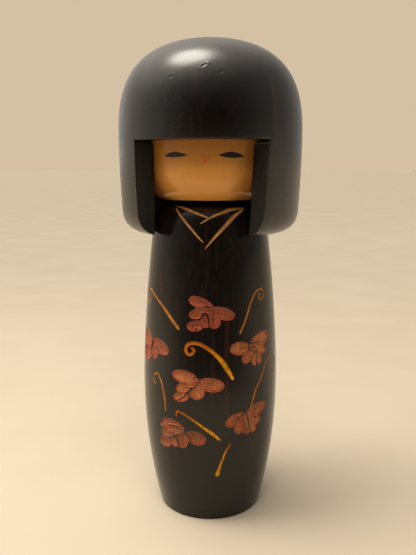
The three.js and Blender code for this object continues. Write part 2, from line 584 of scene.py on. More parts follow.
class Look(Nodes):
    """A material with one Principled shader."""

    def __init__(self, name, **constants):
        self.material = bpy.data.materials.new(name)
        self.material.use_nodes = True
        super().__init__(self.material.node_tree)
        self.shader = self.tree.nodes["Principled BSDF"]
        for socket, value in constants.items():
            self.shader.inputs[socket.replace("_", " ")].default_value = value
        self.place = self.add("ShaderNodeTexCoord").outputs["Object"]

    def stretched(self, x, y, z):
        """Object coordinates with each axis scaled, per metre."""
        node = self.add("ShaderNodeMapping")
        self.feed(node.inputs["Vector"], self.place)
        node.inputs["Scale"].default_value = (x, y, z)
        return node.outputs["Vector"]

    def noise(self, vector, detail=3.0, roughness=0.5, distortion=0.0):
        node = self.add("ShaderNodeTexNoise")
        self.feed(node.inputs["Vector"], vector)
        for socket, value in (("Scale", 1.0), ("Detail", detail), ("Roughness", roughness),
                              ("Distortion", distortion)):
            node.inputs[socket].default_value = value
        return node.outputs["Fac"]

    def grain(self, x, y, z, **settings):
        """Noise whose spots along each axis get smaller as that axis's number grows."""
        return self.noise(self.stretched(x, y, z), **settings)

    def attribute(self, name):
        return self.add("ShaderNodeAttribute", attribute_name=name).outputs["Fac"]

    def combine(self, x, y, z):
        node = self.add("ShaderNodeCombineXYZ")
        for socket, value in zip(node.inputs, (x, y, z)):
            self.feed(socket, value)
        return node.outputs["Vector"]

    def ramp(self, share, *stops):
        node = self.add("ShaderNodeValToRGB")
        self.feed(node.inputs["Fac"], share)
        while len(node.color_ramp.elements) < len(stops):
            node.color_ramp.elements.new(0.5)
        for element, (position, colour) in zip(node.color_ramp.elements, stops):
            element.position = position
            element.color = (*colour, 1)
        return node.outputs["Color"]

    def bump(self, height, depth, strength=1.0, under=None):
        """Bump with its depth in millimetres."""
        node = self.add("ShaderNodeBump")
        node.inputs["Strength"].default_value = strength
        node.inputs["Distance"].default_value = depth * MM
        self.feed(node.inputs["Height"], height)
        if under is not None:
            self.feed(node.inputs["Normal"], under)
        return node.outputs["Normal"]

    def bumps(self, *layers):
        """Several bumps on top of each other, each as (height, depth, strength)."""
        normal = None
        for layer in layers:
            normal = self.bump(*layer, under=normal)
        return normal

    def finish(self, colour, roughness, normal=None):
        self.feed(self.shader.inputs["Base Color"], colour)
        self.feed(self.shader.inputs["Roughness"], roughness)
        if normal is not None:
            self.feed(self.shader.inputs["Normal"], normal)
        return self.material


# Stains by how the grain takes them: most of the wood, its open fibres, and its rare reddish streaks
BODY_STAIN = (0.005, 0.0042, 0.0036), (0.018, 0.0095, 0.0062), (0.042, 0.012, 0.0075)
HAIR_STAIN = (0.0024, 0.0018, 0.0014), (0.0085, 0.0045, 0.003), (0.024, 0.0085, 0.0055)


def lacquer_look(name, stain, rough_span, shine, pore_depth, dimple_depth):
    """Dark stain under lacquer, with the wood's upright grain showing through and faint turning marks."""
    look = Look(name, IOR=1.5, Specular_IOR_Level=shine)
    dark, brown, red = stain
    fibres = look.grain(1500, 1500, 28, detail=4, roughness=0.6)
    broad = look.grain(170, 170, 9, detail=3)
    grain = look.math("MULTIPLY", look.range(fibres, 0.42, 0.72), look.range(broad, 0.3, 0.7, 0.35, 1.0))
    colour = look.mix(grain, (*dark, 1), (*brown, 1))
    streaks = look.grain(190, 190, 8, detail=3, roughness=0.6)
    colour = look.mix(look.range(streaks, 0.58, 0.74, 0.0, 0.7), colour, (*red, 1))
    smudges = look.grain(55, 55, 55, detail=3, roughness=0.55)
    specks = look.grain(2600, 2600, 2600, detail=1)
    rough = look.range(smudges, 0.3, 0.75, *rough_span)
    rough = look.math("ADD", rough, look.range(specks, 0.6, 0.85, 0.0, 0.02))
    waves = look.grain(45, 45, 45, detail=2)
    rings = look.grain(8, 8, 1300, detail=2)
    pores = look.grain(2400, 2400, 90, detail=3, roughness=0.6)
    dimples = look.grain(105, 105, 70, detail=1)
    normal = look.bumps((waves, 0.35, 0.35), (dimples, dimple_depth, 0.5), (rings, 0.006, 0.5),
                        (pores, pore_depth, 0.5))
    return look.finish(colour, rough, normal)


def petal_look():
    """Bare wood in the gouge cuts under a thin wash, from pink-red to orange, darker where it pooled."""
    look = Look("petal_wash", IOR=1.5, Specular_IOR_Level=0.3)
    along, aside = look.attribute("along"), look.attribute("aside")
    hollow, tint = look.attribute("hollow"), look.attribute("tint")
    lane = look.combine(look.math("MULTIPLY", along, 1.1), look.math("MULTIPLY", aside, 6),
                        look.math("MULTIPLY", tint, 40))
    streaks = look.noise(lane, detail=4, roughness=0.65)
    upright = look.grain(1700, 1700, 60, detail=3, roughness=0.6)
    mottle = look.grain(650, 650, 420, detail=5, roughness=0.65)
    grain = look.math("MULTIPLY_ADD", streaks, 0.7, look.math("MULTIPLY", upright, 0.3))
    pink = look.ramp(grain, (0.36, (0.085, 0.011, 0.006)), (0.5, (0.17, 0.026, 0.014)),
                     (0.63, (0.28, 0.062, 0.03)))
    orange = look.ramp(grain, (0.36, (0.16, 0.038, 0.011)), (0.5, (0.31, 0.09, 0.026)),
                       (0.63, (0.47, 0.18, 0.055)))
    warm = look.math("MULTIPLY", tint, look.range(hollow, 0.05, 0.6, 0.2, 1.0))
    wash = look.mix(warm, pink, orange)
    pooled = look.mix(look.range(mottle, 0.5, 0.7, 0.0, 0.65), wash, (0.07, 0.016, 0.008, 1))
    specks = look.grain(1500, 1500, 1100, detail=2, roughness=0.6)
    pooled = look.mix(look.range(specks, 0.52, 0.68, 0.0, 0.5), pooled, (0.42, 0.13, 0.05, 1))
    worn = look.grain(95, 95, 95, detail=3)
    pooled = look.mix(look.range(worn, 0.58, 0.68, 0.0, 0.5), pooled, (0.13, 0.07, 0.03, 1))
    rim = look.mix(look.range(hollow, 0.0, 0.14, 0.5, 0.0), pooled, (0.34, 0.055, 0.03, 1))
    rough = look.range(streaks, 0.3, 0.7, 0.4, 0.6)
    normal = look.bumps((streaks, 0.16, 0.8), (upright, 0.03, 0.5))
    return look.finish(rim, rough, normal)


def tendril_look(name, low, middle, high, start_painted_light=1.0):
    """Golden paint or bare wood in a narrow gouge cut, with the gouge's chatter across it.

    start_painted_light is painted light: it brightens the thick end where each stroke starts."""
    look = Look(name, IOR=1.5, Specular_IOR_Level=0.15)
    along, aside = look.attribute("along"), look.attribute("aside")
    tint = look.attribute("tint")
    lane = look.combine(look.math("MULTIPLY", along, 2.2), look.math("MULTIPLY", aside, 1.6),
                        look.math("MULTIPLY", tint, 60))
    streaks = look.noise(lane, detail=4, roughness=0.6)
    upright = look.grain(1900, 1900, 80, detail=3, roughness=0.6)
    grain = look.math("MULTIPLY_ADD", streaks, 0.55, look.math("MULTIPLY", upright, 0.45))
    paint = look.ramp(grain, (0.33, low), (0.5, middle), (0.68, high))
    rim = look.range(aside, 0.5, 1.0, 0.0, 0.85)
    colour = look.mix(rim, paint, (*low, 1))
    # Painted light: the colour is brightened towards the start of the stroke.
    start = look.range(along, 1.0, 6.0, 1.0, 0.0)
    full = (start_painted_light, start_painted_light ** 2, start_painted_light ** 2, 1)
    colour = look.mix(start, colour, look.mix(1.0, colour, full, "MULTIPLY"))
    rough = look.range(streaks, 0.3, 0.7, 0.4, 0.6)
    normal = look.bumps((streaks, 0.06, 0.6), (upright, 0.02, 0.5))
    return look.finish(colour, rough, normal)


def face_look():
    """Pale close-grained wood under clear lacquer, with painted shade under the fringe and beside the sawn
    flats of the hair.
    """
    look = Look("pale_face_wood", IOR=1.5)
    fibres = look.grain(1500, 1500, 26, detail=4, roughness=0.6)
    bands = look.grain(110, 110, 7, detail=2)
    flecks = look.grain(2300, 2300, 320, detail=2)
    blush = look.grain(60, 60, 60, detail=3)
    wood = look.ramp(bands, (0.3, (0.59, 0.26, 0.05)), (0.5, (0.61, 0.275, 0.054)),
                     (0.7, (0.63, 0.29, 0.06)))
    wood = look.mix(look.range(fibres, 0.4, 0.75, 0.0, 0.16), wood, (0.46, 0.18, 0.03, 1))
    wood = look.mix(look.range(flecks, 0.62, 0.76, 0.0, 0.22), wood, (0.36, 0.13, 0.025, 1))
    colour = look.mix(look.range(blush, 0.4, 0.75, 0.0, 0.4), wood, (0.56, 0.2, 0.042, 1))
    # Painted shade: the face is darkened under the fringe and towards the sawn flats, where the hair shades
    # it, a little off-centre.
    x, y, z = look.split(look.place)
    turn = look.math("ARCTAN2", x, look.math("MULTIPLY", y, -1))
    aside = look.math("ABSOLUTE", look.math("ADD", turn, math.radians(2.5)))
    shade_beside_hair = look.range(aside, math.radians(22), math.radians(WINDOW_HALF_ANGLE + 2), 0.0, 0.78)
    shade_under_fringe = look.range(z, (FRINGE_HEIGHT - 11) * MM, (FRINGE_HEIGHT + 2) * MM, 0.0, 0.75)
    colour = look.mix(look.math("MAXIMUM", shade_beside_hair, shade_under_fringe), colour, (0.27, 0.1, 0.021, 1))
    rough = look.range(blush, 0.3, 0.7, 0.13, 0.22)
    normal = look.bumps((fibres, 0.012, 0.5), (look.grain(50, 50, 50, detail=2), 0.2, 0.3))
    return look.finish(colour, rough, normal)


def brush_look(name, colour, variation):
    """Thin brushed paint, a little uneven in its cover."""
    look = Look(name, IOR=1.5)
    cover = look.grain(1400, 1400, 900, detail=3, roughness=0.6)
    shade = look.mix(look.range(cover, 0.35, 0.7), (*colour, 1), (*variation, 1))
    rough = look.range(cover, 0.3, 0.7, 0.3, 0.45)
    return look.finish(shade, rough, look.bump(cover, 0.02, 0.5))


def sawn_look():
    """The flats beside the face: sawn, stained and lacquered thinly, with the saw's marks across them."""
    look = Look("sawn_hair", IOR=1.5)
    marks = look.grain(90, 90, 1500, detail=3, roughness=0.6, distortion=0.4)
    fibres = look.grain(700, 700, 60, detail=4, roughness=0.65)
    stain = look.mix(look.range(fibres, 0.4, 0.75), (0.005, 0.005, 0.0044, 1), (0.013, 0.012, 0.01, 1))
    x, _, z = look.split(look.place)
    ledge = (FRINGE_HEIGHT - KERF) * MM
    worn = look.math("MULTIPLY", look.range(z, ledge - 0.7 * MM, ledge - 0.3 * MM), look.range(x, 0.0, MM))
    worn = look.math("MULTIPLY", worn, look.range(z, ledge, ledge + 0.05 * MM, 0.6, 0.0))
    colour = look.mix(worn, stain, (0.09, 0.075, 0.05, 1))
    rough = look.range(marks, 0.3, 0.7, 0.5, 0.68)
    normal = look.bumps((marks, 0.06, 0.6), (fibres, 0.03, 0.5))
    return look.finish(colour, rough, normal)


def bare_look(name, pale, dark):
    """Bare turned wood with its grain and the rings left by the tool."""
    look = Look(name, IOR=1.5)
    fibres = look.grain(900, 900, 40, detail=4, roughness=0.65)
    rings = look.grain(8, 8, 1200, detail=2)
    colour = look.mix(look.range(fibres, 0.35, 0.7), (*pale, 1), (*dark, 1))
    rough = look.range(fibres, 0.3, 0.7, 0.5, 0.7)
    normal = look.bumps((fibres, 0.05, 0.6), (rings, 0.03, 0.5))
    return look.finish(colour, rough, normal)


def underside_look():
    """End grain under the foot: thin stain over the rings that the parting tool left."""
    look = Look("stained_foot", IOR=1.5)
    x, y, _ = look.split(look.place)
    radius = look.from_axis(x, y)
    wobble = look.grain(120, 120, 120, detail=2)
    rings = look.noise(look.combine(look.math("MULTIPLY_ADD", radius, 1500, wobble), 0.0, 0.0), detail=2)
    years = look.grain(260, 700, 10, detail=3)
    colour = look.mix(look.range(years, 0.35, 0.7), (0.03, 0.015, 0.01, 1), (0.1, 0.045, 0.022, 1))
    rough = look.range(rings, 0.3, 0.7, 0.45, 0.65)
    return look.finish(colour, rough, look.bump(rings, 0.05, 0.6))


def floor_look():
    """Plain pale matt cloth, a little darker near the doll."""
    look = Look("pale_floor", IOR=1.4)
    mottle = look.grain(14, 14, 14, detail=4)
    tooth = look.grain(900, 900, 900, detail=2)
    x, y, _ = look.split(look.place)
    far = look.range(look.from_axis(x, y), 0.15, 1.2)
    cloth = look.mix(far, (0.39, 0.335, 0.26, 1), (0.45, 0.39, 0.3, 1))
    colour = look.mix(look.range(mottle, 0.3, 0.7, 0.0, 0.06), cloth, (0.2, 0.16, 0.11, 1))
    return look.finish(colour, look.range(mottle, 0.3, 0.7, 0.75, 0.9), look.bump(tooth, 0.05, 0.4))


# ---------------------------------------------------------------- body and its carving

# The places in FLOWERS, RIDGES, TENDRILS and COLLAR were marked by eye on the photo and worked out through
# the fitted camera by a helper script, then rounded, and some were changed by hand.
#
# Each flower is (azimuth, height), how orange its wash is, from 0 to 1, and its gouge cuts. A cut is how far
# across and up from the flower's middle it lies, half its length and width, where its tip points, and how
# much it tapers.
FLOWERS = {
    "shoulder": ((5.1, 92.2), 0.1, (
        (-2.9, 3.8, 5.3, 2.3, -18, 0.25), (5.9, -0.3, 5.2, 2.5, 161, 0.2), (-3.3, 0.0, 4.6, 2.2, 20, 0.2),
        (2.1, -2.2, 4.3, 2.9, 102, 0.2), (-1.3, -3.1, 3.0, 1.9, 109, 0.2), (-5.0, -5.4, 3.5, 2.2, 10, 0.0))),
    "left_hand": ((43.2, 76.5), 0.9, (
        (-5.6, 0.7, 4.6, 2.8, 0, 0.2), (5.4, 3.0, 6.0, 3.0, 187, 0.2), (4.4, -0.9, 4.5, 2.4, 159, 0.2),
        (-2.3, -3.2, 3.1, 2.3, 50, 0.2), (1.0, -4.6, 3.3, 1.6, 100, 0.2), (3.9, -4.3, 3.2, 1.9, 95, 0.1),
        (0.3, -1.0, 3.4, 2.5, 100, 0.0))),
    "middle": ((-5.9, 63.1), 0.9, (
        (-4.0, 2.5, 5.8, 2.8, -7, 0.2), (6.6, -0.2, 5.8, 3.0, 172, 0.2), (-3.5, -1.7, 4.6, 2.3, 18, 0.2),
        (0.9, -2.6, 4.0, 3.4, 100, 0.4), (-5.7, -6.1, 3.6, 2.1, 10, 0.0))),
    "low": ((-14.9, 41.8), 0.6, (
        (-5.3, 2.0, 5.6, 2.7, -8, 0.2), (-4.3, 0.2, 4.4, 2.1, 0, 0.2), (4.8, -2.1, 4.6, 3.1, 165, 0.1),
        (-1.2, -3.7, 3.8, 2.9, 90, 0.1), (-4.7, -5.1, 2.7, 2.4, 0, 0.0), (-9.3, -2.2, 3.0, 2.3, 19, 0.1),
        (-10.2, -6.6, 3.5, 2.5, 5, 0.0), (-10.5, 1.1, 2.2, 1.0, 22, 0.1), (-5.6, -2.2, 3.8, 2.0, 10, 0.0))),
    "low_left_hand": ((38.1, 48.9), 0.85, (
        (-5.3, -1.5, 4.7, 2.6, 26, 0.2), (-2.4, -2.1, 3.0, 2.3, 41, 0.1), (5.1, 0.9, 5.7, 2.8, 189, 0.2),
        (4.2, -2.6, 4.0, 2.6, 141, 0.1), (-3.1, -5.4, 2.9, 2.6, 50, 0.1), (0.1, -5.8, 3.5, 1.9, 100, 0.2),
        (3.4, -6.6, 2.5, 1.8, 110, 0.1), (1.2, -2.4, 3.6, 2.4, 100, 0.0))),
    "right_hand": ((-44.6, 75.8), 0.25, (
        (2.4, 0.5, 5.6, 3.0, 164, 0.2), (-1.4, -2.5, 3.3, 2.8, 90, 0.1), (-8.3, 1.8, 5.2, 3.9, -20, 0.1),
        (-8.5, -4.2, 4.6, 3.7, 0, 0.1), (-3.0, -0.3, 3.4, 2.4, 80, 0.0))),
}

# Thin ridges of lacquer left standing between the cuts: flower, then (across, up) points and a width.
RIDGES = (
    ("shoulder", ((-2.8, -0.6), (-0.8, -0.2), (0.1, -2.4), (0.6, -5.6)), 0.6),
    ("shoulder", ((-0.8, -0.2), (-2.4, -1.4), (-3.6, -3.4)), 0.55),
    ("shoulder", ((-4.9, -7.6), (-4.8, -6.2)), 0.5),
    ("shoulder", ((-2.4, 2.1), (-0.4, 2.6), (1.4, 2.2)), 0.4),
    ("left_hand", ((-2.0, 1.8), (0.5, -1.1), (2.3, -2.1)), 0.5),
    ("left_hand", ((2.0, -1.9), (2.5, -4.4), (2.4, -7.6)), 0.5),
    ("left_hand", ((-1.9, 1.4), (0.4, 2.2), (3.2, 2.0), (4.4, 2.6)), 0.45),
    ("left_hand", ((-1.4, -1.5), (-1.9, 0.2), (-1.5, 1.8)), 0.45),
    ("left_hand", ((-0.4, 0.8), (1.6, 0.3), (3.6, -2.9)), 0.4),
    ("left_hand", ((1.5, -1.5), (0.2, -3.4), (-0.8, -4.8)), 0.4),
    ("middle", ((0.9, 0.5), (-0.2, -1.5), (-3.0, -1.6)), 0.4),
    ("middle", ((-0.4, -1.6), (-1.6, -2.7), (-4.1, -4.9)), 0.75),
    ("middle", ((-4.5, -5.5), (-7.6, -7.9)), 0.5),
    ("middle", ((-0.8, 2.6), (0.6, 2.9), (2.1, 2.4)), 0.35),
    ("low", ((-7.6, 1.8), (-3.5, 2.0), (0.2, 0.3)), 0.45),
    ("low", ((0.6, 0.0), (-3.7, -2.0)), 0.7),
    ("low", ((-3.2, -1.8), (-7.9, -4.4)), 0.8),
    ("low", ((-7.2, -1.0), (-4.9, -2.4), (-3.2, -4.6), (-2.7, -7.2)), 0.75),
    ("low", ((0.2, -0.2), (2.1, -1.7), (3.1, -5.1)), 0.65),
    ("low_left_hand", ((-0.5, 0.5), (0.7, -2.2), (1.1, -4.7), (1.9, -8.5)), 0.6),
    ("low_left_hand", ((-1.0, 0.2), (-3.6, -0.6), (-5.5, -3.2)), 0.5),
    ("low_left_hand", ((-1.6, -1.6), (-1.5, -4.6), (-1.0, -7.4)), 0.35),
    ("low_left_hand", ((4.4, 1.6), (5.2, 0.9)), 0.55),
    ("low_left_hand", ((6.2, 2.4), (6.9, 2.0)), 0.45),
    ("low_left_hand", ((4.2, -1.9), (5.2, -2.5)), 0.6),
    ("low_left_hand", ((2.9, 0.2), (3.7, -0.3)), 0.4),
    ("right_hand", ((-0.2, 0.2), (0.9, -0.6), (2.1, -1.8)), 0.7),
    ("right_hand", ((-3.6, 3.4), (-3.5, 0.5), (-4.1, -2.6)), 0.45),
    ("right_hand", ((-6.5, -1.6), (-9.0, -1.2), (-11.5, -1.0)), 0.4),
)

# Tendrils, as (azimuth, height, width) along the gouge's path.
TENDRILS = {
    "upper_right_hand": (
        (-20, 85.2, 1.4), (-27.5, 88.8, 1.55), (-36.5, 92.9, 1.25), (-46, 95.6, 1.0), (-53, 97.5, 0.85),
        (-59, 98.6, 1.0), (-65, 98.3, 1.1), (-69, 96.4, 1.1), (-66.5, 94.3, 1.1), (-61, 93.3, 1.1),
        (-56.8, 94.6, 1.0), (-57, 96.8, 0.8)),
    "upper_left_hand": (
        (32, 83.4, 1.0), (38, 89, 1.0), (43.5, 95, 0.95), (49.3, 98.7, 0.95), (55, 100, 1.1),
        (59.8, 99.2, 1.0), (60.3, 97.1, 0.95), (57, 95.6, 0.9), (53.6, 96.6, 0.8), (53.9, 98, 0.7),
        (56.2, 97.9, 0.6)),
    "middle": (
        (25.2, 65, 1.3), (21, 68.8, 2.0), (16, 72.7, 2.0), (10, 75.9, 1.75), (4, 78.2, 1.6),
        (-1.7, 79.6, 1.5), (-7.4, 79.9, 1.5), (-11.8, 78.9, 1.6), (-13.2, 76.9, 1.45), (-11.2, 75.2, 1.4),
        (-8.1, 75.4, 1.4), (-6.3, 76.7, 1.3), (-7.2, 77.7, 1.1), (-8.4, 77.7, 0.95)),
    "lower_right_hand": (
        (-32.4, 49.4, 0.8), (-33.4, 54.8, 1.2), (-36.5, 60.9, 1.0), (-40, 63.7, 0.95), (-42.5, 64.5, 0.95),
        (-46.1, 63.6, 1.0), (-47.8, 61.9, 0.95), (-46.9, 60.2, 0.9), (-44.2, 59.7, 0.7)),
    "lower_left_hand": (
        (42.1, 51.7, 0.9), (44.4, 55.2, 1.1), (47.4, 58.8, 1.0), (54.7, 64.3, 0.9), (59.4, 68, 0.85),
        (64.7, 70.6, 0.85), (70.2, 70.5, 0.85), (75.8, 68.3, 0.8), (77, 65.4, 0.8), (74, 63.2, 0.8),
        (69, 63.2, 0.8), (66.8, 65.2, 0.7), (67.5, 67.1, 0.6)),
    "low_middle": (
        (14.5, 39.2, 1.1), (8.8, 41.9, 1.5), (1.5, 44.6, 1.25), (-4.5, 46.8, 1.05), (-9.7, 48.4, 1.0),
        (-15.8, 50, 0.9), (-19.9, 50.5, 0.9), (-21.6, 49.6, 0.8), (-21.6, 48.3, 0.6)),
    "lowest": (
        (13.2, 22.8, 2.0), (15.1, 26.3, 1.3), (17.4, 29.8, 1.05), (19.8, 33.2, 1.0), (22.3, 35.5, 0.8),
        (24.1, 37.3, 0.4)),
}

GILDED = ("middle", "low_middle", "lowest")     # the tendrils with the thickest golden paint

# The four cuts of the kimono's crossed collar, on the shoulder dome.
COLLAR = (
    ((-37.5, 133.6, 0.6), (-26, 133.1, 1.1), (-15, 132.1, 1.15), (-4, 130.7, 1.0), (6, 129.2, 0.5)),
    ((45, 132.8, 0.7), (29.5, 132.4, 1.7), (18, 131.2, 1.25), (7.5, 129.6, 1.0), (-2, 127.2, 0.5)),
    ((-32.5, 132.6, 0.5), (-22, 129.4, 1.05), (-12, 125.4, 1.05), (-5, 122.2, 0.85), (0.6, 119.9, 0.4)),
    ((44.5, 132.4, 0.6), (31, 129.9, 1.6), (21, 126.2, 1.6), (10.7, 121.7, 1.1), (2.3, 117.4, 0.4)),
)

PETAL_DEPTH = 0.24      # as a share of a petal's half width
STROKE_DEPTH = 0.3      # as a share of a stroke's width


def ridge_mark(outline, flower, path, width):
    """A ridge, from points beside its flower's middle, thinning to nothing at its ends."""
    azimuth, height = FLOWERS[flower][0]
    radius = outline.radius(outline.at_height(height))
    points = []
    for place, (across, up) in enumerate(path):
        at_end = place in (0, len(path) - 1)
        points.append((azimuth + math.degrees(across / radius), height + up, width * (0.5 if at_end else 1)))
    return Stroke(outline, "ridge", points, 0)


def carving(outline):
    marks = []
    for flower, warmth, cuts in FLOWERS.values():
        marks += [Petal(outline, "petal", flower, warmth, cut, PETAL_DEPTH) for cut in cuts]
    for name, points in TENDRILS.items():
        marks.append(Stroke(outline, "gold" if name in GILDED else "bare", points, STROKE_DEPTH))
    marks += [Stroke(outline, "collar", points, STROKE_DEPTH) for points in COLLAR]
    marks += [ridge_mark(outline, *ridge) for ridge in RIDGES]
    return marks


def make_body(lacquer):
    outline = body_outline()
    below = [(FOOT_RADIUS - FOOT_EDGE * share, FOOT_EDGE * (1 - rise))
             for share, rise in ((0.1, 0.45), (0.35, 0.8), (0.7, 0.97), (1.0, 1.0))]
    below += [(radius, 0.0) for radius in (19, 15.5)]
    below += [(12, 0.12), (8, 0.2), (4, 0.22), (1.2, 0.2), (0, 0.5)]
    seat = outline.points[-1, 0]
    above = [(radius, SEAT_HEIGHT) for radius in (seat - 0.8, BORE_RADIUS + 0.5)]
    above += [(BORE_RADIUS, height) for height in (SEAT_HEIGHT - 0.4, 126, BORE_FLOOR)]
    above.append((0, BORE_FLOOR))
    kinds = {
        "plain": lacquer,
        "petal": petal_look(),
        # The gilded tendrils get painted light at their starts.
        "gold": tendril_look("tendril_gold", (0.13, 0.03, 0.002), (0.38, 0.1, 0.002), (0.55, 0.2, 0.004),
                             start_painted_light=1.6),
        "bare": tendril_look("tendril_thin", (0.11, 0.033, 0.005), (0.32, 0.118, 0.018), (0.46, 0.22, 0.05)),
        "collar": tendril_look("collar_wood", (0.11, 0.042, 0.012), (0.33, 0.155, 0.05), (0.55, 0.31, 0.12)),
        "below": underside_look(),
        "above": bare_look("bare_seat", (0.3, 0.16, 0.07), (0.2, 0.1, 0.045)),
    }
    return turned_skin("body_carved", outline, 1.6, carving(outline), below, above, kinds)


# ---------------------------------------------------------------- face block

def face_marks(outline):
    """The eyes, nose and mouth. Their places come from the photo as those of the flowers do."""
    eyes = (
        ((-30.9, 153.1), (-26.1, 154.3), (-21.5, 154.7), (-15.8, 154.3), (-9.8, 153.4),
         (-15.3, 152.9), (-20.1, 152.7), (-25.7, 152.7)),
        ((12.6, 153.3), (18.2, 154.3), (22.6, 154.7), (27.9, 154.3), (34.0, 153.0),
         (28.1, 152.5), (22.6, 152.4), (17.7, 152.7)),
    )
    marks = []
    for eye in eyes:
        marks.append(Lens(outline, "eye_line", eye, 0.0))
        marks.append(Lens(outline, "eye_fill", eye, 0.26))
    nose = ((0.1, 153.2, 0.4), (1.4, 152.8, 0.55), (2.9, 152.7, 0.6), (4.4, 152.8, 0.55), (5.7, 153.2, 0.4))
    mouth = ((2.3, 151.35, 0.9), (3.0, 151.15, 1.2), (3.7, 151.35, 0.9))
    marks.append(Stroke(outline, "red", nose, 0))
    marks.append(Stroke(outline, "red", mouth, 0))
    return marks


class Lens:
    """A painted shape inside a closed, smoothly curved outline, drawn in from it by an inset."""

    depth = 0.0

    def __init__(self, outline, kind, corners, inset):
        self.kind = kind
        self.tint = random.random()
        unrolled = [(math.radians(azimuth) * UNROLL, outline.at_height(height))
                    for azimuth, height in corners]
        half = len(corners) // 2
        top = smooth_path(unrolled[:half + 1], 0.3)
        low = smooth_path(unrolled[half:] + unrolled[:1], 0.3)
        self.outer = np.vstack([top[:-1], low[:-1]])
        if inset:
            inward = np.roll(self.outer, 1, axis=0) - np.roll(self.outer, -1, axis=0)
            inward = np.column_stack([-inward[:, 1], inward[:, 0]])
            inward /= np.linalg.norm(inward, axis=1)[:, None]
            middle = self.outer.mean(axis=0)
            inward *= np.sign(np.sum(inward * (middle - self.outer), axis=1))[:, None]
            squeeze = middle + (self.outer - middle) * (1 - 2.2 * inset / np.ptp(self.outer[:, 0]))
            self.outer = squeeze + inward * inset * 0.8

    def local(self, points):
        return points[:, 0], points[:, 1]

    def share(self, points):
        """1 inside the outline and -1 outside, by counting the edges crossed to the right."""
        inside = np.zeros(len(points), bool)
        for (ax, ay), (bx, by) in zip(self.outer, np.roll(self.outer, -1, axis=0)):
            spans = (ay > points[:, 1]) != (by > points[:, 1])
            with np.errstate(divide="ignore", invalid="ignore"):
                crossing = ax + (points[:, 1] - ay) * (bx - ax) / (by - ay)
            inside ^= spans & (points[:, 0] < crossing)
        return np.where(inside, 1.0, -1.0)

    def gap(self, points):
        distance = np.min(np.linalg.norm(points[:, None, :] - self.outer[None], axis=2), axis=1)
        return np.where(self.share(points) > 0, 0, distance)

    def edge(self, step):
        return self.outer


def make_face():
    outline = face_outline()
    below = [(CHIN_RADIUS - share, CHIN_HEIGHT) for share in (0.4, 4, 9)]
    below.append((BORE_RADIUS + 0.4, CHIN_HEIGHT))
    below += [(BORE_RADIUS, CHIN_HEIGHT + 0.4), (BORE_RADIUS, FACE_BORE_CEILING), (0, FACE_BORE_CEILING)]
    above = [(FACE_RADIUS - CROWN_CHAMFER, FACE_TOP), (20, FACE_TOP), (10, FACE_TOP), (0, FACE_TOP)]
    ends = bare_look("face_ends", (0.05, 0.022, 0.01), (0.03, 0.013, 0.006))
    kinds = {
        "plain": face_look(),
        "below": ends,
        "above": ends,
        "eye_line": brush_look("eye_line", (0.003, 0.003, 0.0045), (0.008, 0.008, 0.01)),
        "eye_fill": brush_look("eye_fill", (0.014, 0.018, 0.026), (0.006, 0.007, 0.01)),
        "red": brush_look("lip_red", (0.68, 0.045, 0.018), (0.72, 0.09, 0.035)),
    }
    return turned_skin("face_painted", outline, 0.7, face_marks(outline), below, above, kinds)


# ---------------------------------------------------------------- hair cap

# Dents in the lacquer: azimuth, height, half length, half width, slant and depth.
DENTS = (
    (2.9, 185.0, 1.2, 0.36, 38, 0.13),
    (13.5, 182.6, 0.9, 0.42, 75, 0.12),
    (-16.8, 181.3, 0.8, 0.5, 30, 0.1),
    (-33.0, 168.0, 1.0, 0.3, 80, 0.05),
    (118.0, 171.0, 1.2, 0.35, 20, 0.08),
    (-152.0, 150.0, 1.4, 0.3, 65, 0.08),
)


DENT_REACH = 4.0        # past which a dent is no longer felt


def curve_points(start, first, second, end, count):
    """Points along a cubic Bezier curve."""
    t = np.linspace(0, 1, count)[:, None]
    start, first, second, end = (np.array(point, float) for point in (start, first, second, end))
    return (1 - t) ** 3 * start + 3 * (1 - t) ** 2 * t * first + 3 * (1 - t) * t ** 2 * second + t ** 3 * end


def hair_outline():
    corner = curve_points((HAIR_RIM_RADIUS, HAIR_RIM), (36.3, 124.2), (37.2, 128), HAIR_CORNER, 300)
    side = curve_points(HAIR_CORNER, (37.8, 142), (HAIR_RADIUS, 151), (HAIR_RADIUS, HAIR_WIDEST), 100)
    dome = curve_points((HAIR_RADIUS, HAIR_WIDEST), (HAIR_RADIUS, HAIR_WIDEST + 14.5), (38, HAIR_TOP),
                        (0, HAIR_TOP), 400)
    return Outline(np.vstack([corner, side[1:], dome[1:]]))


def hair_levels(outline):
    """Rows up the outline, closer together round the cut under the fringe and where the dents are."""
    low, high = FRINGE_HEIGHT - KERF, FRINGE_HEIGHT
    exact = [outline.at_height(low - step) for step in (0.24, 0.14, 0.06, 0.015, 0)]
    exact += [outline.at_height(high + step) for step in (0, 0.015, 0.06, 0.14, 0.24)]
    exact.append(outline.at_height(CAP_CEILING))
    spans = (
        (0, exact[0], 1.3),
        (exact[9], exact[10], 1.0),
        (exact[10], outline.at_height(179), 1.0),
        (outline.at_height(179), outline.at_height(187.5), 0.32),
        (outline.at_height(187.5), outline.length, 1.3),
    )
    levels = set(exact)
    for start, end, step in spans:
        count = max(1, round((end - start) / step))
        levels.update(start + (end - start) * i / count for i in range(count + 1))
    return np.array(sorted(levels))


def hair_azimuths():
    """Columns round the cap, close together at the front and at the edges of the window."""
    degrees_per_mm = math.degrees(1 / HAIR_RADIUS)
    steps = np.array([0, 0.015, 0.06, 0.14, 0.24]) * degrees_per_mm
    window, cut = WINDOW_HALF_ANGLE, WINDOW_HALF_ANGLE + KERF_REACH
    half = list(np.linspace(0, window, 62)[:-1])
    half += [window, window + KERF_REACH / 2]
    half += list(cut + steps)
    half += list(np.linspace(cut + 0.9, CHEEK_BACK, 20))
    half += list(np.linspace(CHEEK_BACK, 180, 48)[1:-1])
    half = sorted(set(np.round(half, 6)))
    return np.radians(np.array([-azimuth for azimuth in reversed(half[1:])] + half + [180.0]))[:-1]


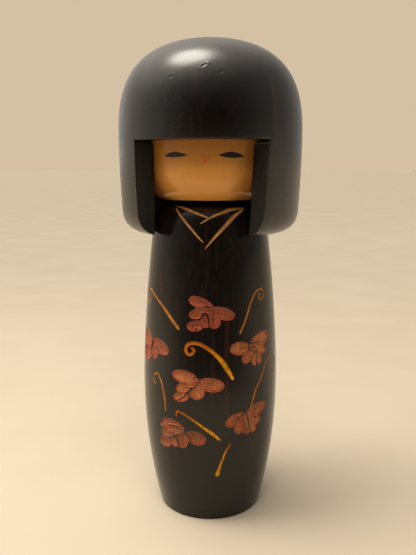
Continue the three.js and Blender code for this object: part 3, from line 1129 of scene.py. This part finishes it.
def in_window(azimuth, height):
    """True in the window or in the saw cut under the fringe. Azimuth in radians."""
    side = abs(math.degrees(azimuth))
    if height > FRINGE_HEIGHT:
        return False
    if side < WINDOW_HALF_ANGLE:
        return True
    return side < WINDOW_HALF_ANGLE + KERF_REACH and height > FRINGE_HEIGHT - KERF


def cut_azimuth(azimuth, height, radius, share):
    """Where a column really lies: it leans with the saw cut, and the kerf runs further on deep inside.

    share is 0 at the bore and 1 at the outer surface. Angles are in radians."""
    side, window = abs(azimuth), math.radians(WINDOW_HALF_ANGLE)
    reach, far = math.radians(KERF_REACH), math.radians(CHEEK_BACK)
    if window < side < far:
        deep = reach * (1 + (KERF_DEPTH - 1) * (1 - share) ** 0.5)
        if side <= window + reach:
            side = window + (side - window) * deep / reach
        else:
            side = far - (far - side) * (far - window - deep) / (far - window - reach)
    side = math.copysign(side, azimuth)
    if azimuth > 0 and height < FRINGE_HEIGHT:
        drift = math.tan(math.radians(LEFT_CUT_LEAN)) * (FRINGE_HEIGHT - height)
        if side < window:
            share_of_lean = side / window
        else:
            share_of_lean = max(math.pi / 2 - side, 0) / (math.pi / 2 - window)
        side -= math.asin(drift / radius) * share_of_lean
    return side


def edge_drop(azimuth, height, radius):
    """How far the sanded edge round the window draws the surface in."""
    side = abs(azimuth) * radius
    window = math.radians(WINDOW_HALF_ANGLE) * radius
    cut = math.radians(WINDOW_HALF_ANGLE + KERF_REACH) * radius
    to_window = math.hypot(max(side - window, 0), max(height - FRINGE_HEIGHT, 0))
    below_cut = max(FRINGE_HEIGHT - KERF - height, 0)
    to_cut = math.hypot(max(side - cut, 0), max(height - FRINGE_HEIGHT, below_cut))
    distance = min(to_window, to_cut)
    if distance >= CUT_EDGE:
        return 0.0
    return CUT_EDGE - math.sqrt(CUT_EDGE ** 2 - (CUT_EDGE - distance) ** 2)


def dent_depth(azimuth, up, outline, radius):
    """Depth of the dents at a point, with the lacquer raised a little round each."""
    total = 0.0
    for dent_azimuth, dent_height, half_length, half_width, slant, depth in DENTS:
        across = (azimuth - math.radians(dent_azimuth)) * radius
        along = up - outline.at_height(dent_height)
        if max(abs(across), abs(along)) > DENT_REACH:
            continue
        turn = math.radians(slant)
        x = (across * math.cos(turn) + along * math.sin(turn)) / half_length
        y = (along * math.cos(turn) - across * math.sin(turn)) / half_width
        reach = x * x + y * y
        total += depth * (math.exp(-reach * 1.2) - 0.35 * math.exp(-(math.sqrt(reach) - 1.7) ** 2 * 3))
    return total


def make_hair(lacquer):
    outline = hair_outline()
    levels = hair_levels(outline)
    azimuths = hair_azimuths()
    layers = 9
    rows, columns = len(levels), len(azimuths)
    heights, radii = outline.height(levels), outline.radius(levels)
    outs, rises = outline.normal(levels)
    ceiling = int(np.argmin(np.abs(heights - CAP_CEILING)))
    builder = Builder()
    known = {}

    def vertex(row, column, layer):
        column %= columns
        if row == rows - 1:
            column = 0
        key = (row, column, layer)
        if key not in known:
            azimuth, height, radius = azimuths[column], heights[row], radii[row]
            signed = (azimuth + math.pi) % (2 * math.pi) - math.pi
            drop = edge_drop(signed, height, radius) + dent_depth(signed, levels[row], outline, radius)
            outer = radius - drop * outs[row]
            share = layer / layers
            across = CAP_BORE + (outer - CAP_BORE) * share
            lift = -drop * rises[row] * share
            turned = cut_azimuth(signed, height, across, share)
            known[key] = builder.add_points(round_axis(turned, across, [height + lift]))[0]
        return known[key]

    def solid(row, column):
        if row < 0:
            return False
        column %= columns
        after = azimuths[(column + 1) % columns]
        middle = azimuths[column] + ((after - azimuths[column]) % (2 * math.pi)) / 2
        middle = (middle + math.pi) % (2 * math.pi) - math.pi
        return not in_window(middle, (heights[row] + heights[row + 1]) / 2)

    for row in range(rows - 1):
        for column in range(columns):
            if not solid(row, column):
                continue
            corners = [(row, column), (row, column + 1), (row + 1, column + 1), (row + 1, column)]
            outer = [vertex(*corner, layers) for corner in corners]
            if row == rows - 2:
                outer = outer[:3]
            builder.add_face(outer, "hair")
            if row < ceiling:
                builder.add_face([vertex(*corner, 0) for corner in reversed(corners)], "inside")
    for row in range(ceiling):
        for column in range(columns):
            here, before = solid(row, column), solid(row, column - 1)
            if here == before:
                continue
            for layer in range(layers):
                face = [vertex(row, column, layer), vertex(row, column, layer + 1),
                        vertex(row + 1, column, layer + 1), vertex(row + 1, column, layer)]
                builder.add_face(face if here else face[::-1], "sawn")
    for row in range(ceiling):
        for column in range(columns):
            here, under = solid(row, column), solid(row - 1, column)
            if here == under:
                continue
            for layer in range(layers):
                face = [vertex(row, column, layer), vertex(row, column + 1, layer),
                        vertex(row, column + 1, layer + 1), vertex(row, column, layer + 1)]
                builder.add_face(face if here else face[::-1], "inside" if row == 0 else "sawn")
    last = [vertex(ceiling, column, 0) for column in range(columns)]
    for radius in (18, 8):
        ring = builder.add_points(round_axis(azimuths, radius, np.full(columns, heights[ceiling])))
        ring_strip(builder, last, ring, "inside")
        last = ring
    ring_strip(builder, last, builder.add_points([(0, 0, heights[ceiling])]), "inside")

    sawn = sawn_look()
    kinds = {"hair": lacquer, "sawn": sawn, "inside": sawn}
    piece = mesh_piece("hair_lacquered", builder, kinds)
    piece.data.set_sharp_from_angle(angle=math.radians(50))
    return piece


# ---------------------------------------------------------------- studio

CAMERA_AZIMUTH = 7.0
CAMERA_DISTANCE = 266.5
CAMERA_HEIGHT = 148.7
CAMERA_PITCH = 10.04    # degrees down
CAMERA_TURN = 0.213     # degrees to the left of the doll's axis
CAMERA_LENS = 40.21


def make_camera():
    data = bpy.data.cameras.new("camera")
    data.lens = CAMERA_LENS
    camera = bpy.data.objects.new("camera", data)
    bpy.context.scene.collection.objects.link(camera)
    azimuth = math.radians(CAMERA_AZIMUTH)
    camera.location = (CAMERA_DISTANCE * math.sin(azimuth) * MM, -CAMERA_DISTANCE * math.cos(azimuth) * MM,
                       CAMERA_HEIGHT * MM)
    camera.rotation_euler = (math.radians(90 - CAMERA_PITCH), 0, math.radians(CAMERA_AZIMUTH + CAMERA_TURN))
    bpy.context.scene.camera = camera


def make_floor():
    """A wide disc, fine near the doll."""
    builder = Builder()
    count = 96
    turns = np.arange(count) * 2 * math.pi / count
    last = builder.add_points([(0, 0, 0)])
    for radius in (60, 150, 400, 1200, 4000, 12000, 40000):
        ring = builder.add_points(round_axis(turns, radius, np.zeros(count)))
        if len(last) == 1:
            for here in range(count):
                builder.add_face((last[0], ring[here], ring[(here + 1) % count]), "floor")
        else:
            ring_strip(builder, ring, last, "floor")
        last = ring
    floor = mesh_piece("floor", builder, {"floor": floor_look()})


# The room's glow by how far a direction points away from the camera, from -1 to 1, and how much of it
# there is on the picture's left and right
ROOM = ((-0.87, 0.025), (-0.6, 0.15), (-0.2, 0.32), (0.3, 0.45), (0.65, 0.62), (1.0, 0.7))
ROOM_LEFT, ROOM_RIGHT = 1.42, 0.74
# Soft panels overhead: middle and half size, on a plane one unit up, glow, and softness of the edge
PANEL = ((-0.3, 0.03), (0.33, 0.28), 9.5, 0.25)
PANEL_SKIRT = ((-0.65, 0.25), (1.15, 0.9), 0.8, 0.75)
LIGHT_TINT = (1.0, 0.93, 0.82, 1)
BACKDROP = (0.66, 0.53, 0.37, 1)


def panel_glow(nodes, direction, middle, half, glow, soft):
    """Glow of an oval panel overhead, with soft edges."""
    x, y, z = direction
    up = nodes.math("MAXIMUM", z, 0.1)
    total = 0.0
    for side, centre, reach in zip((x, y), middle, half):
        place = nodes.math("SUBTRACT", nodes.math("DIVIDE", side, up), centre)
        total = nodes.math("ADD", total, nodes.math("POWER", nodes.math("DIVIDE", place, reach), 2.0))
    inside = nodes.range(nodes.math("SQRT", total), 1 - soft, 1 + soft, glow, 0.0)
    return nodes.math("MULTIPLY", inside, nodes.range(z, 0.1, 0.3))


def make_world():
    """A pale studio: bright round the back and sides, dark behind the camera, with soft panels overhead.

    The camera itself sees a plain pale backdrop."""
    world = bpy.data.worlds.new("studio")
    bpy.context.scene.world = world
    world.use_nodes = True
    nodes = Nodes(world.node_tree)
    turn = nodes.add("ShaderNodeMapping")
    turn.inputs["Rotation"].default_value = (0, 0, -math.radians(CAMERA_AZIMUTH))
    nodes.feed(turn.inputs["Vector"], nodes.add("ShaderNodeTexCoord").outputs["Generated"])
    direction = nodes.split(turn.outputs["Vector"])
    aside, away_from_camera, _ = direction

    room = nodes.add("ShaderNodeFloatCurve")
    curve = room.mapping.curves[0]
    for point, (away, glow) in zip((curve.points[0], curve.points[1]), (ROOM[0], ROOM[-1])):
        point.location = ((away + 1) / 2, glow)
    for away, glow in ROOM[1:-1]:
        curve.points.new((away + 1) / 2, glow)
    room.mapping.update()
    nodes.feed(room.inputs["Value"], nodes.math("MULTIPLY", nodes.math("ADD", away_from_camera, 1.0), 0.5))
    side = nodes.range(aside, -0.7, 0.7, ROOM_LEFT, ROOM_RIGHT)
    glow = nodes.math("MULTIPLY", room.outputs["Value"], side)
    for panel in (PANEL, PANEL_SKIRT):
        glow = nodes.math("ADD", glow, panel_glow(nodes, direction, *panel))

    tinted = nodes.mix(1.0, glow, LIGHT_TINT, "MULTIPLY")
    by_camera = nodes.add("ShaderNodeLightPath").outputs["Is Camera Ray"]
    seen = nodes.mix(by_camera, tinted, BACKDROP)
    nodes.feed(nodes.tree.nodes["Background"].inputs["Color"], seen)


def aim(thing, target):
    way = Vector(target) * MM - thing.location
    thing.rotation_euler = way.to_track_quat("-Z", "Y").to_euler()


def make_lamp(name, azimuth, elevation, distance, size, power, target):
    """A soft square lamp that lights the doll but isn't seen in its gloss."""
    data = bpy.data.lights.new(name, "AREA")
    data.shape = "SQUARE"
    data.size = size * MM
    data.energy = power
    data.color = LIGHT_TINT[:3]
    lamp = bpy.data.objects.new(name, data)
    bpy.context.scene.collection.objects.link(lamp)
    turn, rise = math.radians(azimuth), math.radians(elevation)
    way = Vector((math.sin(turn) * math.cos(rise), -math.cos(turn) * math.cos(rise), math.sin(rise)))
    lamp.location = (Vector(target) + way * distance) * MM
    lamp.visible_glossy = False
    aim(lamp, target)


FLAG_HALF_ANGLE = 84                # degrees each side of the camera's azimuth
FLAG_START, FLAG_END = 145, 265     # where the card starts to fade in, and is wholly black
FLAG_LOW, FLAG_TOP = 100, 190       # heights between which it fades out again


def make_flag():
    """A black card on the floor in front of the doll that curves up, as the end of the pale cloth did.

    It is seen only in the doll's gloss, and fades out towards its edges."""
    builder = Builder()
    columns = 48
    turns = np.radians(CAMERA_AZIMUTH + np.linspace(-FLAG_HALF_ANGLE, FLAG_HALF_ANGLE, columns))
    sweep = ((FLAG_START, 1), (200, 2), (235, 4), (265, 10), (285, 40), (290, FLAG_LOW), (290, FLAG_TOP))
    rings = [builder.add_points(round_axis(turns, radius, np.full(columns, height)))
             for radius, height in sweep]
    for lower, upper in zip(rings, rings[1:]):
        for here in range(columns - 1):
            builder.add_face((lower[here], lower[here + 1], upper[here + 1], upper[here]), "flag")
    look = Look("flag_black", Roughness=0.9)
    x, y, z = look.split(look.place)
    turn = math.radians(CAMERA_AZIMUTH)
    ahead = look.math("MULTIPLY_ADD", x, math.sin(turn), look.math("MULTIPLY", y, -math.cos(turn)))
    radius = look.from_axis(x, y)
    sides = look.range(look.math("DIVIDE", ahead, radius), math.cos(math.radians(FLAG_HALF_ANGLE)), 1.0)
    near_end = look.range(radius, FLAG_START * MM, FLAG_END * MM)
    top_end = look.range(z, FLAG_LOW * MM, FLAG_TOP * MM, 1.0, 0.0)
    cover = look.math("MULTIPLY", look.math("MULTIPLY", near_end, top_end), sides)
    look.feed(look.shader.inputs["Alpha"], cover)
    flag = mesh_piece("flag", builder, {"flag": look.finish((0.01, 0.01, 0.01, 1), 0.9)})
    for ray in ("camera", "diffuse", "transmission", "shadow", "volume_scatter"):
        setattr(flag, "visible_" + ray, False)


make_camera()
make_world()
make_floor()
make_flag()
make_lamp("front_lamp", 11, 58, 900, 520, 6.5, (0, -28, 150))
make_lamp("left_lamp", -100, 60, 620, 320, 2.9, (-60, -160, 0))
bpy.context.scene.view_settings.view_transform = "Standard"

body_lacquer = lacquer_look("body_lacquer", BODY_STAIN, (0.13, 0.2), 0.36, 0.005, 0.025)
hair_lacquer = lacquer_look("hair_lacquer", HAIR_STAIN, (0.24, 0.33), 0.88, 0.002, 0.1)

body = make_body(body_lacquer)
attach(body, "body")
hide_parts("body")

face = make_face()
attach(face, "head")
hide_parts("face_block")

hair = make_hair(hair_lacquer)
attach(hair, "head")
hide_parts("hair_cap")

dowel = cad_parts["neck_dowel"]
dowel.data.materials.clear()
dowel.data.materials.append(bare_look("dowel_wood", (0.55, 0.35, 0.18), (0.4, 0.23, 0.11)))
